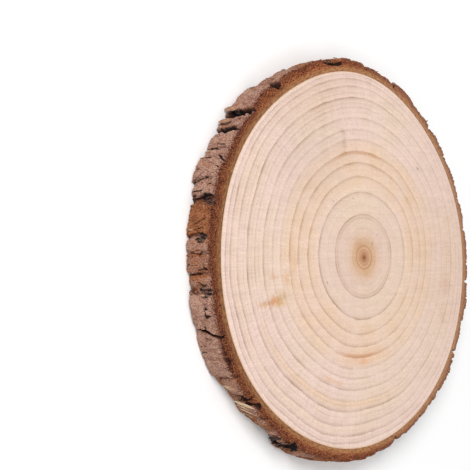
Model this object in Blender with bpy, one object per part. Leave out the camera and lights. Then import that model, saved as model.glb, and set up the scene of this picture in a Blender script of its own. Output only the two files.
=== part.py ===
"""A round slice sawn from a small log, bark on, lying on its lower sawn face.

The slice is two tissues that part at the cambium: a pale disc of wood, and a ring of brown
bark round it. The bark is broken into plates by furrows that run the way the trunk grew,
which is through the thickness of the slice. Each furrow and plate is one row of FURROWS.

Metres, +Z up. The origin is the middle of the slice's footprint. +X and +Y lie in the sawn face.
"""

import math
import random

import bmesh
import bpy

MM = 0.001

# Driving dimensions, in millimetres
THICKNESS = 10.0
WOOD_RADIUS = 65.4
CAMBIUM_GAP = 0.3
RIM_RADIUS = 70.5  # only turns lengths along the rim into angles
THINNEST_BARK = 1.3
PLATE_CROWN = 0.45  # how far the middle of a plate stands out past its sides
PLATE_LEAN = 0.2  # the most that a plate leans out towards one sawn face
PLATE_TILT = 0.4  # the most that one side of a plate stands out past the other
CHIP = 0.8  # the most that is broken off a plate at a sawn face
CHIP_REACH = 1.6  # how far such a break reaches along the plate
FURROW_WANDER = 0.45  # how far a furrow strays sideways on its way through
FURROW_WAVES = 0.8  # the share of a full wave that it strays by
GROWTH_SEED = 31

# The trunk isn't quite round: lobes as (number round the rim, height, direction in degrees)
WOOD_LOBES = (
    (2, 0.10, 79),
    (3, 0.30, 79),
    (4, 0.15, 87),
    (5, 0.20, 6),
    (6, 0.20, 24),
)

# Anticlockwise from +X, each furrow and the plate that follows it: the furrow's angle at the
# upper face and how far it has turned at the lower face, both in degrees, then in millimetres
# its width, its depths at the upper and the lower face, and the thicknesses of the bark at the
# upper and the lower face on the plate after it.
FURROWS = (
    (9.5, 1.0, 1.6, 1.5, 1.5, 4.2, 4.2),
    (20.0, -1.0, 1.0, 0.6, 0.6, 4.0, 4.0),
    (34.7, 1.5, 2.0, 1.9, 1.5, 4.6, 4.4),
    (47.0, -1.0, 2.0, 2.0, 1.4, 5.0, 4.8),
    (57.0, 1.0, 1.2, 0.9, 0.9, 5.5, 5.3),
    (68.1, 1.5, 1.8, 2.0, 1.4, 4.5, 4.3),
    (82.0, -1.5, 2.4, 2.4, 1.6, 5.4, 5.2),
    (97.0, 1.0, 2.0, 0.8, 1.8, 5.4, 5.3),
    (111.0, -1.0, 1.2, 0.8, 1.2, 6.0, 5.5),
    (121.8, 3.5, 3.0, 2.6, 2.6, 6.4, 7.2),
    (135.0, 3.4, 2.0, 0.9, 2.2, 4.9, 6.6),
    (141.4, 1.8, 1.8, 0.9, 2.4, 5.4, 6.3),
    (149.5, -0.6, 0.7, 0.6, 1.2, 5.5, 6.1),
    (153.0, -0.9, 0.7, 0.8, 0.9, 6.7, 8.0),
    (157.8, 1.6, 0.8, 0.5, 1.2, 6.4, 7.1),
    (163.4, 0.6, 2.0, 0.9, 1.5, 5.8, 6.5),
    (173.8, -0.6, 1.6, 0.6, 1.2, 6.1, 6.6),
    (177.6, -0.4, 0.8, 0.5, 0.8, 5.9, 6.6),
    (183.0, -0.7, 1.2, 0.5, 1.0, 5.4, 5.5),
    (188.0, -1.4, 2.0, 0.8, 1.4, 5.6, 7.0),
    (199.2, -2.4, 1.4, 2.2, 0.4, 6.3, 6.4),
    (211.4, -1.2, 1.4, 1.0, 1.5, 5.4, 5.0),
    (222.2, -9.4, 2.8, 3.0, 1.4, 5.4, 3.7),
    (227.0, -7.0, 1.4, 1.4, 1.4, 5.3, 4.2),
    (232.4, -5.0, 1.6, 0.8, 1.2, 5.8, 3.5),
    (240.5, -4.0, 3.0, 1.4, 1.8, 5.6, 6.0),
    (250.0, -2.0, 1.2, 0.8, 1.4, 5.2, 5.6),
    (258.0, 1.0, 1.0, 0.9, 0.9, 4.9, 5.2),
    (267.0, -1.0, 1.2, 1.1, 1.1, 4.9, 4.9),
    (277.0, 1.0, 0.9, 0.8, 0.8, 4.4, 4.4),
    (286.5, 1.5, 2.0, 1.6, 1.6, 3.6, 3.8),
    (300.0, -1.0, 1.2, 1.1, 1.1, 3.7, 3.9),
    (306.0, 0.8, 1.0, 0.9, 0.9, 3.8, 3.8),
    (312.5, -0.8, 1.2, 1.1, 1.1, 4.5, 4.3),
    (328.0, 1.2, 2.2, 1.9, 1.9, 4.0, 4.2),
    (339.0, -1.2, 1.4, 1.4, 1.4, 4.8, 4.8),
    (351.5, 1.0, 1.5, 1.6, 1.6, 4.0, 4.2),
    (358.0, -0.8, 1.0, 0.8, 0.8, 3.9, 4.0),
)

# How finely the solids are drawn
WOOD_SIDES = 180
LEVELS = (0.0, 0.09, 0.24, 0.42, 0.6, 0.78, 0.92, 1.0)  # shares of the thickness
PLATE_STEP = 2.6  # the longest stretch of a plate without a column of points
FLOOR_EDGE = 0.45  # where the furrow's floor ends, as a share of its half width
SHOULDER = 1.1  # where the furrow's side reaches the plate, as a share of its half width
SHARP_EDGE = math.radians(35)

WOOD_COLOUR = (0.84, 0.68, 0.50, 1.0)
WOOD_ROUGHNESS = 0.6
BARK_COLOUR = (0.16, 0.075, 0.045, 1.0)
BARK_ROUGHNESS = 0.9


def wood_outline(angle):
    """The radius of the wood at this angle, in millimetres."""
    lobes = (
        height * math.cos(count * (angle - math.radians(direction)))
        for count, height, direction in WOOD_LOBES
    )
    return WOOD_RADIUS + sum(lobes)


def smooth_step(low, high, value):
    share = min(1.0, max(0.0, (value - low) / (high - low)))
    return share * share * (3.0 - 2.0 * share)


def grown_plates():
    """FURROWS with what differs from plate to plate by chance, the same on each run."""
    chance = random.Random(GROWTH_SEED)
    plates = []
    for angle, turn, width, upper_depth, lower_depth, upper_bark, lower_bark in FURROWS:
        plate = {
            "angle": math.radians(angle),
            "turn": math.radians(turn),
            "half": width / 2,
            "lower_bark": lower_bark,
            "more_bark": upper_bark - lower_bark,
            "lower_floor": lower_bark - lower_depth,
            "upper_floor": upper_bark - upper_depth,
            "phase": chance.uniform(0, 2 * math.pi),
            "lean": chance.uniform(-PLATE_LEAN, PLATE_LEAN),
            "tilt": chance.uniform(-PLATE_TILT, PLATE_TILT),
            "upper_chip": CHIP * chance.random() ** 2,
            "lower_chip": CHIP * chance.random() ** 2,
        }
        plates.append(plate)
    return plates


def furrow_at(plate, level):
    """The angle of the furrow before this plate, at a level from 0, the underside, to 1."""
    wave = math.sin(2 * math.pi * FURROW_WAVES * level + plate["phase"])
    straight = plate["angle"] + plate["turn"] * (1.0 - level)
    return straight + FURROW_WANDER / RIM_RADIUS * wave


def bark_thickness(plate, after, arc, length, level):
    """The bark's thickness this far along a plate, where it is this long between its furrows."""
    share = arc / length
    top = plate["lower_bark"] + plate["more_bark"] * level
    bark = top + plate["tilt"] * (share - 0.5) + plate["lean"] * (level - 0.5)
    bark -= PLATE_CROWN * (2.0 * share - 1.0) ** 2
    for chip, level_off_face in (("upper_chip", 1.0 - level), ("lower_chip", level)):
        whole = smooth_step(0.0, CHIP_REACH, level_off_face * THICKNESS)
        bark -= plate[chip] * (1.0 - whole)
    for furrow, distance in ((plate, arc), (after, length - arc)):
        half = furrow["half"]
        floor = furrow["lower_floor"] + (furrow["upper_floor"] - furrow["lower_floor"]) * level
        side = smooth_step(FLOOR_EDGE * half, SHOULDER * half, distance)
        bark = min(bark, floor + (top + PLATE_CROWN - floor) * side)
    return max(bark, THINNEST_BARK)


def plate_stations(plate, after, length, steps):
    """Where the columns of points stand along a plate, in millimetres from its furrow."""
    first = SHOULDER * plate["half"]
    last = length - SHOULDER * after["half"]
    crown = [first + (last - first) * n / steps for n in range(steps + 1)]
    floor_end = length - FLOOR_EDGE * after["half"]
    return [0.0, FLOOR_EDGE * plate["half"], *crown, floor_end]


def bark_columns(plates):
    """Every column of points on the bark, as one (angle, radius) for each level."""
    columns = []
    for index, plate in enumerate(plates):
        last_plate = index + 1 == len(plates)
        after = plates[0] if last_plate else plates[index + 1]
        lap = 2 * math.pi if last_plate else 0.0
        starts = [furrow_at(plate, level) for level in LEVELS]
        lengths = [
            (furrow_at(after, level) + lap - start) * RIM_RADIUS
            for level, start in zip(LEVELS, starts)
        ]
        steps = max(2, math.ceil(min(lengths) / PLATE_STEP))
        stations = [plate_stations(plate, after, length, steps) for length in lengths]
        for arcs in zip(*stations):
            column = []
            for level, start, length, arc in zip(LEVELS, starts, lengths, arcs):
                angle = start + arc / RIM_RADIUS
                bark = bark_thickness(plate, after, arc, length, level)
                column.append((angle, wood_outline(angle) + bark))
            columns.append(column)
    return columns


def footprint_centre(columns):
    """The middle of the box round the bark, in millimetres from the middle of the lobes."""
    spots = [
        (radius * math.cos(angle), radius * math.sin(angle))
        for column in columns
        for angle, radius in column
    ]
    return tuple((min(axis) + max(axis)) / 2 for axis in zip(*spots))


def place(angle, radius, level, centre):
    """A point of the slice in metres, with the middle of its footprint at the origin."""
    return (
        (radius * math.cos(angle) - centre[0]) * MM,
        (radius * math.sin(angle) - centre[1]) * MM,
        level * THICKNESS * MM,
    )


def make_material(name, colour, roughness):
    material = bpy.data.materials.new(name)
    material.use_nodes = True
    material.diffuse_color = colour
    shader = material.node_tree.nodes["Principled BSDF"]
    shader.inputs["Base Color"].default_value = colour
    shader.inputs["Roughness"].default_value = roughness
    shader.inputs["Metallic"].default_value = 0.0
    return material


def add_object(name, shape, material):
    mesh = bpy.data.meshes.new(name)
    shape.to_mesh(mesh)
    shape.free()
    mesh.materials.append(material)
    mesh.shade_smooth()
    mesh.set_sharp_from_angle(angle=SHARP_EDGE)
    bpy.context.scene.collection.objects.link(bpy.data.objects.new(name, mesh))


def make_wood(centre):
    """The disc of wood: its outline, drawn up through the thickness."""
    shape = bmesh.new()
    angles = [2 * math.pi * n / WOOD_SIDES for n in range(WOOD_SIDES)]
    edges = []
    for level in (0.0, 1.0):
        spots = [
            place(angle, wood_outline(angle) - CAMBIUM_GAP / 2, level, centre)
            for angle in angles
        ]
        edges.append([shape.verts.new(spot) for spot in spots])
    lower, upper = edges
    shape.faces.new(upper)
    shape.faces.new(reversed(lower))
    for n in range(WOOD_SIDES):
        after = (n + 1) % WOOD_SIDES
        shape.faces.new((lower[n], lower[after], upper[after], upper[n]))
    material = make_material("sanded_wood", WOOD_COLOUR, WOOD_ROUGHNESS)
    add_object("wood_disc", shape, material)


def make_bark(columns, centre):
    """The ring of bark: its furrowed outside, two sawn faces and the inner side at the cambium."""
    shape = bmesh.new()
    outside, inside = [], []
    for column in columns:
        spots = [
            place(angle, radius, level, centre)
            for level, (angle, radius) in zip(LEVELS, column)
        ]
        outside.append([shape.verts.new(spot) for spot in spots])
        angle = (column[0][0] + column[-1][0]) / 2  # upright at the cambium, however it slants
        spots = [
            place(angle, wood_outline(angle) + CAMBIUM_GAP / 2, level, centre)
            for level in (0.0, 1.0)
        ]
        inside.append([shape.verts.new(spot) for spot in spots])
    for n in range(len(columns)):
        after = (n + 1) % len(columns)
        here, there = outside[n], outside[after]
        (low, high), (low_after, high_after) = inside[n], inside[after]
        for k in range(len(LEVELS) - 1):
            shape.faces.new((here[k], there[k], there[k + 1], here[k + 1]))
        shape.faces.new((here[-1], there[-1], high_after, high))
        shape.faces.new((high, high_after, low_after, low))
        shape.faces.new((low, low_after, there[0], here[0]))
    material = make_material("furrowed_bark", BARK_COLOUR, BARK_ROUGHNESS)
    add_object("bark_ring", shape, material)


def main():
    for old in list(bpy.data.objects):
        bpy.data.objects.remove(old)
    columns = bark_columns(grown_plates())
    centre = footprint_centre(columns)
    make_wood(centre)
    make_bark(columns, centre)


main()
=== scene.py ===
import random
from functools import partial
from math import cos, pi, radians, sin

import bpy
import numpy as np
from mathutils import Matrix, Vector


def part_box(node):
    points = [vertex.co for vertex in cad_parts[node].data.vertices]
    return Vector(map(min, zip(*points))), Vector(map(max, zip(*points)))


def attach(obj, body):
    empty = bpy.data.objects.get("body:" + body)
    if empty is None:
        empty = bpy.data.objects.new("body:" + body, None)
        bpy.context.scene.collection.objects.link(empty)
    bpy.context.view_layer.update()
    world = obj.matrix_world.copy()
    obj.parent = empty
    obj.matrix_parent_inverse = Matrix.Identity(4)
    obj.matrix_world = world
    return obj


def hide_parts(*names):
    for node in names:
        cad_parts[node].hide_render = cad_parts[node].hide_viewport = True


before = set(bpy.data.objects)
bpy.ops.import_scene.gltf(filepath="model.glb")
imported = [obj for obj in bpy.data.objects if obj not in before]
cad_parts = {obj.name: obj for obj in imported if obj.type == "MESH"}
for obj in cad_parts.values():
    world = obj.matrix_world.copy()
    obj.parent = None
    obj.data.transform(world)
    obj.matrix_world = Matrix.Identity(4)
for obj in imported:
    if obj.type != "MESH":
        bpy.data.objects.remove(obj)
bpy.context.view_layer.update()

# A round slice of a small conifer log, bark on, lying on its lower sawn face.
# Lengths in the dictionaries are millimetres; meshes are in metres.

mm = 0.001

# The trunk as it grew. Its outline is the same as that of the frame's wood.
trunk = {
    "woodRadius": 65.4,
    "lobes": ((2, 0.10, 79), (3, 0.30, 79), (4, 0.15, 87), (5, 0.20, 6), (6, 0.20, 24)),
    "pith": (4.65, 0.65),  # from the middle of the outline
    "rimRadius": 70.5,  # turns lengths along the rim into angles
}


def outlineRadius(angle):  # the wood's edge, for a number or an array
    return trunk["woodRadius"] + sum(
        height * np.cos(count * (angle - radians(direction)))
        for count, height, direction in trunk["lobes"]
    )


# The frame's origin is the middle of its footprint, so the outline's own middle is worked out.
woodLow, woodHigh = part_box("wood_disc")
barkLow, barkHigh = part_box("bark_ring")
thickness = (woodHigh.z - woodLow.z) / mm
turn = np.linspace(0, 2 * pi, 721)
outlineX, outlineY = outlineRadius(turn) * np.cos(turn), outlineRadius(turn) * np.sin(turn)
middle = (
    (woodLow.x + woodHigh.x) / 2 / mm - (outlineX.min() + outlineX.max()) / 2,
    (woodLow.y + woodHigh.y) / 2 / mm - (outlineY.min() + outlineY.max()) / 2,
)


def linear(hexColour):  # an sRGB hex colour as the linear one that shaders take
    channels = [int(hexColour[i:i + 2], 16) / 255 for i in (1, 3, 5)]
    return (*(c / 12.92 if c <= 0.04045 else ((c + 0.055) / 1.055) ** 2.4 for c in channels), 1.0)


def newObject(name, data):
    thing = bpy.data.objects.new(name, data)
    bpy.context.scene.collection.objects.link(thing)
    return thing


def addNode(tree, kind, sockets=(), operation=None, **settings):
    # Adds a node with its links, or with a node for its kind fills in that one. A shader node's
    # kind goes without its prefix. Sockets are values, nodes or other nodes' sockets, in the order
    # of the node's own sockets or by their names.
    node = kind
    if isinstance(kind, str):
        prefix = "" if kind.startswith(("Geometry", "NodeGroup")) else "ShaderNode"
        node = tree.nodes.new(prefix + kind)
    if operation:
        node.operation = operation
    for name, value in settings.items():
        setattr(node, name, value)
    shown = [socket for socket in node.inputs if socket.enabled]
    for key, value in sockets.items() if isinstance(sockets, dict) else enumerate(sockets):
        socket = node.inputs[key] if isinstance(key, str) else shown[key]
        if isinstance(value, bpy.types.Node):
            value = next(output for output in value.outputs if output.enabled)
        if isinstance(value, bpy.types.NodeSocket):
            tree.links.new(value, socket)
        else:
            socket.default_value = value
    return node


smooth = {"interpolation_type": "SMOOTHSTEP"}  # for Map Range nodes


def newTree(name, inputs):  # a Geometry Nodes tree, what adds nodes to it, and its named inputs
    tree = bpy.data.node_groups.new(name, "GeometryNodeTree")
    for label, (kind, value) in inputs.items():
        socket = tree.interface.new_socket(name=label, in_out="INPUT", socket_type="NodeSocket" + kind)
        if value is not None:
            socket.default_value = value
    tree.interface.new_socket(name="Geometry", in_out="OUTPUT", socket_type="NodeSocketGeometry")
    add = partial(addNode, tree)
    return tree, add, add("NodeGroupInput").outputs


def endTree(add, grown, material):  # what was grown becomes a plain mesh with its material
    plain = add("GeometryNodeRealizeInstances", [grown])
    dressed = add("GeometryNodeSetMaterial", {"Geometry": plain, "Material": material})
    add("NodeGroupOutput", [dressed])


def runTree(tree, name, startMesh=None, **values):  # the tree's result as a plain mesh
    holder = newObject(name, startMesh or bpy.data.meshes.new(name))
    modifier = holder.modifiers.new(name, "NODES")
    modifier.node_group = tree
    for socket in tree.interface.items_tree:
        if socket.in_out == "INPUT" and socket.name in values:
            modifier[socket.identifier] = values[socket.name]
    depsgraph = bpy.context.evaluated_depsgraph_get()
    grown = holder.evaluated_get(depsgraph)
    mesh = bpy.data.meshes.new_from_object(grown, preserve_all_data_layers=True, depsgraph=depsgraph)
    mesh.name = name
    holder.modifiers.clear()
    holder.data = mesh
    return holder


print("slice: frame loaded, thickness", round(thickness, 2), "mm")

# Camera: looks down on the sawn face from about 45 degrees, rolled so that +Y is up.
shot = {
    "position": (-307.3, -2.4, 252.6),  # from the middle of the upper face
    "forward": (0.70091, 0.03111, -0.71257),
    "up": (0.0, 0.99905, 0.04362),
    "lens": 86.6,
    "sensor": 36.0,
    "clip": (0.01, 50.0),  # metres
}
camera = newObject("camera", bpy.data.cameras.new("camera"))
camera.data.lens = shot["lens"]
camera.data.sensor_width = shot["sensor"]
camera.data.clip_start, camera.data.clip_end = shot["clip"]
back = -Vector(shot["forward"]).normalized()
right = Vector(shot["up"]).cross(back).normalized()
axes = Matrix((right, back.cross(right), back)).transposed()
place = Vector(shot["position"]) + Vector((middle[0], middle[1], thickness))
camera.matrix_world = Matrix.Translation(place * mm) @ axes.to_4x4()
bpy.context.scene.camera = camera

# Growth rings: radius, width of the dark late wood, darkness from 0 to 1. The clear ones come
# first, from the pith out, then the faint ones between them.
rings = (
    (1.6, 0.4, 0.40), (2.8, 0.4, 0.50), (4.1, 0.6, 0.66), (6.4, 0.8, 0.14), (10.2, 0.9, 0.12),
    (12.2, 0.6, 0.08), (13.9, 0.7, 0.30), (15.0, 0.9, 0.48), (23.0, 1.0, 0.50), (28.3, 1.0, 0.42),
    (33.0, 1.1, 0.46), (36.9, 1.2, 0.42), (41.0, 1.1, 0.28), (44.4, 0.9, 0.30), (48.3, 1.0, 0.42),
    (51.9, 0.8, 0.26), (53.3, 0.6, 0.20), (55.1, 1.0, 0.52), (56.8, 0.5, 0.18), (59.1, 0.9, 0.38),
    (61.9, 0.9, 0.46), (63.7, 0.5, 0.40), (18.6, 0.5, 0.08), (25.6, 0.5, 0.09), (30.6, 0.6, 0.11),
    (34.9, 0.5, 0.10), (39.0, 0.5, 0.11), (42.8, 0.5, 0.12), (46.4, 0.6, 0.14), (50.2, 0.5, 0.15),
    (57.8, 0.4, 0.13), (60.5, 0.4, 0.17), (62.9, 0.3, 0.17),
)

woodDisc = {
    "sides": 360,
    "steps": 70,  # rings of faces from the pith to the edge
    "edgeGap": 0.02,  # to the bark, which grew on it
    "pithDrift": 3.3,  # how late the rings' middles drift from the pith to the trunk's middle
    "bulge": (3.0, 1.25, 6.0),  # how far rings bulge towards +Y, and the powers it comes and goes by
    "oval": (3.8, 10),  # how much longer they are one way than the other, and which way, degrees
    "sandedEdge": 0.06,  # how far sanding has rounded the outer edge down
    "sandedFrom": 0.985,  # and the share of the radius where that begins
    "crease": 30,  # degrees, past which an edge stays sharp
}


def growWoodDisc(material):
    # A cylinder whose rings of faces are moved to where the growth rings are, so that each
    # vertex can carry the radius that its growth ring had.
    size, earlyPower, latePower = woodDisc["bulge"]
    tree, add, given = newTree("woodGrowth", {
        "Radius": ("Float", trunk["woodRadius"] * mm),
        "Thickness": ("Float", thickness * mm),
        "Sides": ("Int", woodDisc["sides"]),
        "Steps": ("Int", woodDisc["steps"]),
        "Edge gap": ("Float", woodDisc["edgeGap"] * mm),
        "Sanded edge": ("Float", woodDisc["sandedEdge"] * mm),
        "Pith": ("Vector", (0.0, 0.0, 0.0)),
        "Middle": ("Vector", (0.0, 0.0, 0.0)),
        "Bulge": ("Float", size * mm),
        "Material": ("Material", None),
    })
    disc = add("GeometryNodeMeshCylinder", {
        "Vertices": given["Sides"], "Side Segments": 3, "Fill Segments": given["Steps"],
        "Radius": given["Radius"], "Depth": given["Thickness"],
    }, fill_type="TRIANGLE_FAN")
    spot = add("SeparateXYZ", [add("GeometryNodeInputPosition")]).outputs
    flat = add("CombineXYZ", [spot["X"], spot["Y"]])
    radius = add("VectorMath", [flat], "LENGTH").outputs["Value"]
    angle = add("Math", (spot["Y"], spot["X"]), "ARCTAN2")
    share = add("Math", (radius, given["Radius"]), "DIVIDE")
    squared = add("Math", (share, 2.0), "POWER")
    # the outline's lobes grow towards the edge, and the oval is gone again there
    reach = add("Math", (given["Edge gap"], -1.0), "MULTIPLY")
    for count, height, direction in trunk["lobes"]:
        phase = add("Math", (angle, count, -count * radians(direction)), "MULTIPLY_ADD")
        lobe = add("Math", [phase], "COSINE")
        reach = add("Math", (lobe, height * mm, reach), "MULTIPLY_ADD")
    pushed = add("Math", (reach, squared, radius), "MULTIPLY_ADD")
    ovalness, ovalWay = woodDisc["oval"]
    phase = add("Math", (angle, 2.0, -2 * radians(ovalWay)), "MULTIPLY_ADD")
    oval = add("Math", (add("Math", [phase], "COSINE"), ovalness * mm), "MULTIPLY")
    oval = add("Math", (oval, squared), "MULTIPLY")
    within = add("Math", (1.0, squared), "SUBTRACT")
    pushed = add("Math", (oval, within, pushed), "MULTIPLY_ADD")
    ratio = add("Math", (pushed, add("Math", (radius, 1e-9), "MAXIMUM")), "DIVIDE")
    grown = add("VectorMath", {0: flat, "Scale": ratio}, "SCALE")
    # the rings' middles: from the pith to the trunk's own middle, with a bulge on the way
    drift = add("Math", (1.0, add("Math", (share, woodDisc["pithDrift"]), "POWER")), "SUBTRACT")
    shift = add("VectorMath", {0: given["Pith"], "Scale": drift}, "SCALE")
    early = add("Math", (share, earlyPower), "POWER")
    late = add("Math", (1.0, add("Math", (share, latePower), "POWER")), "SUBTRACT")
    bulge = add("Math", (add("Math", (early, late), "MULTIPLY"), given["Bulge"]), "MULTIPLY")
    bulge = add("CombineXYZ", {"Y": bulge})
    # the flat faces, rounded down by sanding where they meet the bark
    worn = add("MapRange", (share, woodDisc["sandedFrom"], 1.0, 0.0, 1.0))
    worn = add("Math", (worn, given["Sanded edge"]), "MULTIPLY")
    worn = add("Math", (worn, add("Math", [spot["Z"]], "SIGN")), "MULTIPLY")
    height = add("Math", (spot["Z"], worn), "SUBTRACT")
    lift = add("Math", (given["Thickness"], 0.5, height), "MULTIPLY_ADD")
    position = grown
    for part in (shift, bulge, add("CombineXYZ", {"Z": lift}), given["Middle"]):
        position = add("VectorMath", (position, part), "ADD")
    # radius of the growth ring in millimetres, kept before the points move
    marked = add("GeometryNodeStoreNamedAttribute", {
        "Geometry": disc.outputs["Mesh"], "Name": "ringRadius",
        "Value": add("Math", (radius, 1 / mm), "MULTIPLY"),
    }, data_type="FLOAT", domain="POINT")
    moved = add("GeometryNodeSetPosition", {"Geometry": marked, "Position": position})
    endTree(add, moved, given["Material"])
    pith = Vector((*trunk["pith"], 0.0)) * mm
    disc = runTree(tree, "woodDisc", Pith=pith, Middle=Vector((*middle, 0.0)) * mm, Material=material)
    disc.data.shade_smooth()
    disc.data.set_sharp_from_angle(angle=radians(woodDisc["crease"]))
    return disc


# Bark, anticlockwise from +X: each furrow's angle at the upper face and its turn to the lower one,
# in degrees, its width, its depths at the upper and the lower face, then of the plate after it the
# bark's thickness at both, and how weathered it is, from 0 for reddish cork to 1 for pinkish grey.
furrows = (
    (9.5, 1.0, 1.6, 1.5, 1.5, 4.2, 4.2, 0.6), (20.0, -1.0, 1.0, 0.6, 0.6, 4.0, 4.0, 0.4),
    (34.7, 1.5, 2.0, 1.9, 1.5, 4.6, 4.4, 0.7), (47.0, -1.0, 2.0, 2.0, 1.4, 5.0, 4.8, 0.3),
    (57.0, 1.0, 1.2, 0.9, 0.9, 5.5, 5.3, 0.6), (68.1, 1.5, 1.8, 2.0, 1.4, 4.5, 4.3, 0.5),
    (82.0, -1.5, 2.4, 2.4, 1.6, 5.4, 5.2, 0.4), (97.0, 1.0, 2.0, 0.8, 1.8, 5.4, 5.3, 0.5),
    (111.0, -1.0, 1.2, 0.8, 1.2, 6.0, 5.5, 0.8), (121.8, 3.5, 3.0, 2.6, 2.6, 6.4, 7.2, 0.85),
    (135.0, 3.4, 2.0, 0.9, 2.2, 4.9, 6.6, 1.0), (141.4, 1.8, 1.8, 0.9, 2.4, 5.4, 6.3, 0.9),
    (149.5, -0.6, 0.7, 0.6, 1.2, 5.5, 6.1, 0.9), (153.0, -0.9, 0.7, 0.8, 0.9, 6.7, 8.0, 1.0),
    (157.8, 1.6, 0.8, 0.5, 1.2, 6.4, 7.1, 1.0), (163.4, 0.6, 2.0, 0.9, 1.5, 5.8, 6.5, 0.1),
    (173.8, -0.6, 1.6, 0.6, 1.2, 6.1, 6.6, 0.8), (177.6, -0.4, 0.8, 0.5, 0.8, 5.9, 6.6, 0.7),
    (183.0, -0.7, 1.2, 0.5, 1.0, 5.4, 5.5, 0.6), (188.0, -1.4, 2.0, 0.8, 1.4, 5.6, 7.0, 1.0),
    (199.2, -2.4, 1.4, 2.2, 0.4, 6.3, 6.2, 1.0), (211.4, -1.2, 1.4, 1.0, 1.5, 5.4, 5.0, 0.65),
    (222.2, -9.4, 2.8, 3.0, 1.4, 5.4, 3.7, 0.7), (227.0, -7.0, 1.4, 1.4, 1.4, 5.3, 4.2, 0.6),
    (232.4, -5.0, 1.6, 0.8, 1.2, 5.8, 3.5, 0.7), (240.5, -4.0, 3.0, 1.4, 1.8, 5.6, 6.0, 0.6),
    (250.0, -2.0, 1.2, 0.8, 1.4, 5.2, 5.6, 0.4), (258.0, 1.0, 1.0, 0.9, 0.9, 4.9, 5.2, 0.5),
    (267.0, -1.0, 1.2, 1.1, 1.1, 4.9, 4.9, 0.4), (277.0, 1.0, 0.9, 0.8, 0.8, 4.4, 4.4, 0.7),
    (286.5, 1.5, 2.0, 1.6, 1.6, 3.6, 3.8, 0.5), (300.0, -1.0, 1.2, 1.1, 1.1, 3.7, 3.9, 0.3),
    (306.0, 0.8, 1.0, 0.9, 0.9, 3.8, 3.8, 0.7), (312.5, -0.8, 1.2, 1.1, 1.1, 4.5, 4.3, 0.5),
    (328.0, 1.2, 2.2, 1.9, 1.9, 4.0, 4.2, 0.4), (339.0, -1.2, 1.4, 1.4, 1.4, 4.8, 4.8, 0.6),
    (351.5, 1.0, 1.5, 1.6, 1.6, 4.0, 4.2, 0.5), (358.0, -0.8, 1.0, 0.8, 0.8, 3.9, 4.0, 0.3),
)

# Torn hollows in the rim: angle, height, length round the rim and along the trunk, depth, and how
# strongly mould streaks and black painted shadow are painted in them, from 0 for none through 1
# for streaked to 4 for black all over
hollows = (
    (123.6, 6.4, 4.2, 9.0, 3.2, 2.4), (136.8, 5.6, 4.4, 11.0, 3.2, 2.4),
    (142.6, 6.2, 3.2, 9.4, 2.6, 2.2), (163.7, 7.2, 4.6, 7.4, 0.7, 0.8),
    (173.8, 6.2, 4.2, 6.6, 0.6, 0.8), (187.0, 7.0, 5.4, 6.8, 1.0, 0.8),
    (191.6, 6.9, 1.4, 2.0, 0.8, 0.9), (204.5, 10.2, 15.0, 3.4, 1.3, 0.15),
    (226.5, 9.2, 5.0, 4.0, 0.8, 0.3), (152.8, 9.8, 3.2, 1.6, 0.8, 0.1),
    (240.4, 6.0, 9.6, 7.4, 1.5, 4.5), (241.6, 5.0, 9.0, 11.0, 0.1, 0.6),
    (162.9, 0.8, 2.6, 5.0, 1.2, 0.3), (233.6, 0.3, 7.0, 6.4, 2.6, 0.3),
    (237.4, 0.5, 4.6, 5.0, 1.9, 0.3), (262.0, 4.0, 5.0, 6.0, 1.1, 0.4),
    (293.0, 6.0, 4.0, 5.0, 0.9, 0.5), (318.0, 3.5, 5.0, 6.0, 1.0, 0.7), (15.0, 6.0, 4.0, 6.0, 0.9, 0.3),
    (51.0, 4.0, 4.5, 6.0, 1.0, 0.6), (88.0, 2.5, 5.0, 5.0, 1.0, 0.3),
)
# Holes in the bark of the upper face: angle, distance out from the wood, length round the rim,
# width, slant in millimetres outwards for each millimetre round, depth
cutHoles = (
    (96.9, 3.6, 11.0, 3.2, 0.12, 3.4), (109.9, 3.3, 3.4, 0.8, -0.75, 1.4),
    (239.2, 5.0, 8.0, 1.8, 0.0, 3.0), (123.3, 3.9, 3.6, 1.8, 0.9, 2.8),
    (136.1, 5.0, 2.8, 1.6, 0.0, 2.0), (221.0, 3.8, 6.8, 1.6, -0.44, 2.8),
    (166.4, 4.9, 2.6, 0.6, 0.1, 0.8), (193.0, 4.8, 4.0, 0.6, 0.1, 1.0),
    (159.5, 5.2, 3.0, 0.7, 0.1, 1.0), (130.0, 5.0, 4.0, 0.6, 0.1, 0.8),
    (207.0, 4.6, 6.0, 0.7, -0.05, 1.2), (274.0, 3.4, 4.0, 0.8, 0.1, 1.0),
    (325.0, 2.9, 4.0, 0.7, 0.1, 1.2), (28.0, 2.7, 4.0, 0.6, 0.1, 1.0), (255.6, 4.2, 5.0, 0.9, 0.0, 1.4),
    (270.7, 4.0, 6.0, 0.9, 0.0, 1.4),
)
# Single cracks in the rim: angle and height where they start and end, width, depth
splits = (
    (149.1, 1.8, 149.6, 6.4, 0.36, 0.8), (151.6, 6.8, 152.9, 10.0, 0.45, 0.9),
    (159.4, 0.0, 156.6, 4.6, 0.25, 0.7), (161.9, 0.8, 161.4, 5.4, 0.4, 0.8),
    (170.4, 3.0, 168.6, 8.4, 0.25, 0.5), (180.2, 0.6, 180.6, 5.2, 0.22, 0.5),
    (196.8, 2.0, 199.2, 10.0, 0.55, 1.6), (204.6, 5.0, 206.4, 6.4, 0.3, 0.5),
    (216.6, 4.6, 218.6, 10.0, 1.5, 2.2),
)

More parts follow.
